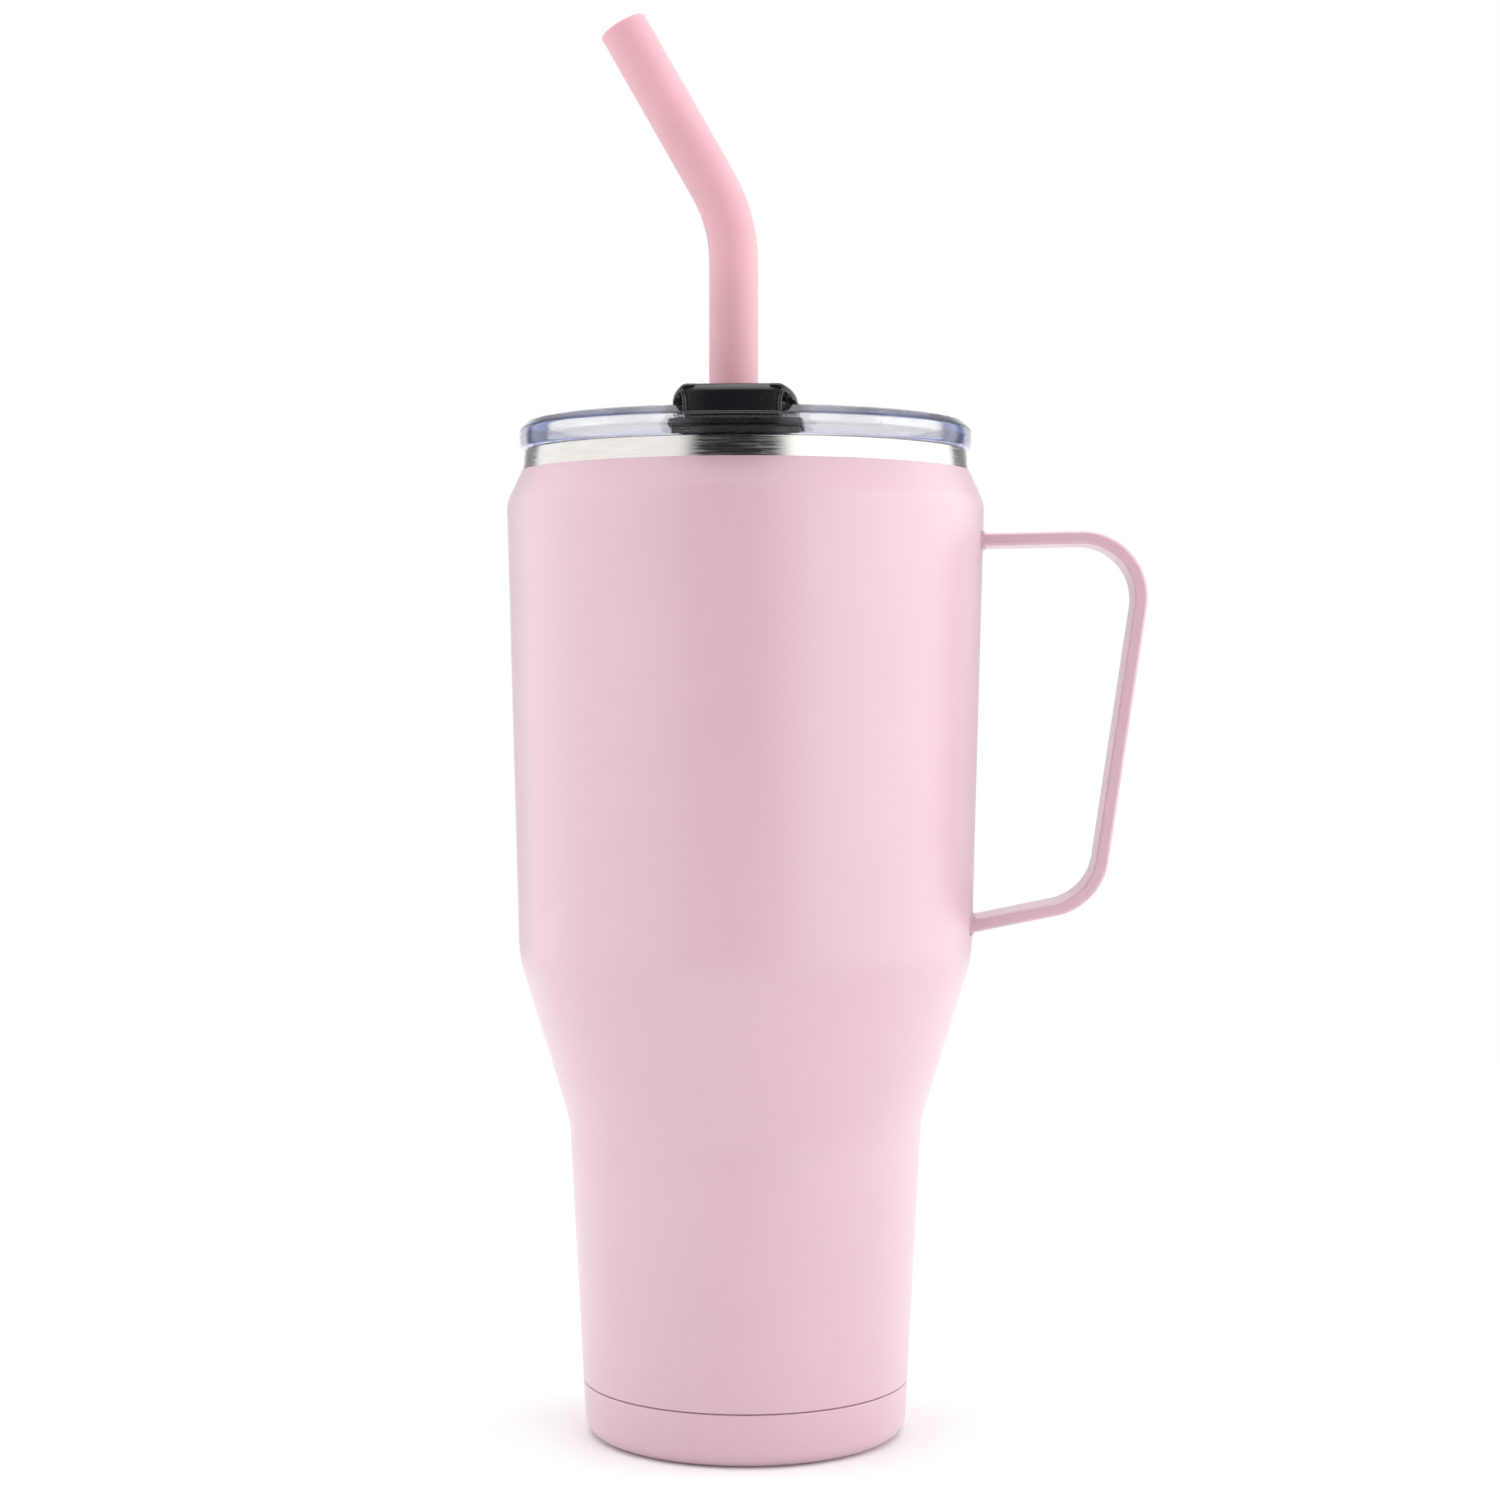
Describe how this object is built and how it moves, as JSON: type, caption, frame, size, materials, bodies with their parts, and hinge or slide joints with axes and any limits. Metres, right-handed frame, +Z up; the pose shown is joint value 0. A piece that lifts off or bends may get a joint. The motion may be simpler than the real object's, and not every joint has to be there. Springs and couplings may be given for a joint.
{
  "type": "insulated tumbler with lid",
  "caption": "Double-walled steel tumbler with a waisted body, side handle, clear push-in lid, flip latch over the drinking slot and a bent straw.",
  "frame": {"origin": "centre of the underside, at the level of the surface that the tumbler stands on, on the vessel's axis", "axes": "+Z up the axis, +X towards the handle, -Y towards the drinking slot and its latch"},
  "size_m": [0.141, 0.1068, 0.3107],
  "materials": {
    "powder_coat": "satin powder coat",
    "brushed_steel": "brushed round the axis",
    "plain_steel": "mill finish",
    "copper": "bright foil",
    "getter_metal": "sintered",
    "seal_glass": "fused solder glass",
    "clear_plastic": "clear, polished",
    "clear_silicone": "translucent silicone",
    "black_silicone": "matte silicone",
    "black_plastic": "semi-gloss moulded",
    "pink_silicone": "satin silicone"
  },
  "bodies": {
    "vessel": {"outer_shell": "powder_coat", "inner_liner": "brushed_steel", "liner_bottom": "brushed_steel", "copper_foil": "copper", "outer_bottom": "plain_steel", "getter": "getter_metal", "vacuum_seal": "seal_glass", "base_cup": "powder_coat", "handle": "powder_coat", "handle_welds": "powder_coat"},
    "seal_ring": {"lid_seal": "clear_silicone"},
    "lid": {"lid_shell": "clear_plastic", "latch_base": "black_plastic", "hinge_pin": "plain_steel"},
    "latch": {"flip_latch": "black_plastic", "latch_seal": "black_silicone"},
    "straw_port": {"straw_grommet": "black_silicone"},
    "straw": {"straw": "pink_silicone"}
  },
  "joints": [
    {"name": "lid_lift", "type": "slide", "parent": "vessel", "child": "seal_ring", "axis": [0, 0, 1], "range_m": [0, 0.06]},
    {"name": "lid_turn", "type": "hinge", "parent": "seal_ring", "child": "lid", "pos_m": [0, 0, 0.2112], "axis": [0, 0, 1], "continuous": true},
    {"name": "latch_flip", "type": "hinge", "parent": "lid", "child": "latch", "pos_m": [0, -0.0275, 0.2234], "axis": [-1, 0, 0], "range_deg": [0, 95]},
    {"name": "straw_swivel", "type": "hinge", "parent": "lid", "child": "straw_port", "pos_m": [0, -0.015, 0.219], "axis": [0, 0, 1], "continuous": true},
    {"name": "straw_pull", "type": "slide", "parent": "straw_port", "child": "straw", "axis": [0, 0, 1], "range_m": [0, 0.215]}
  ]
}
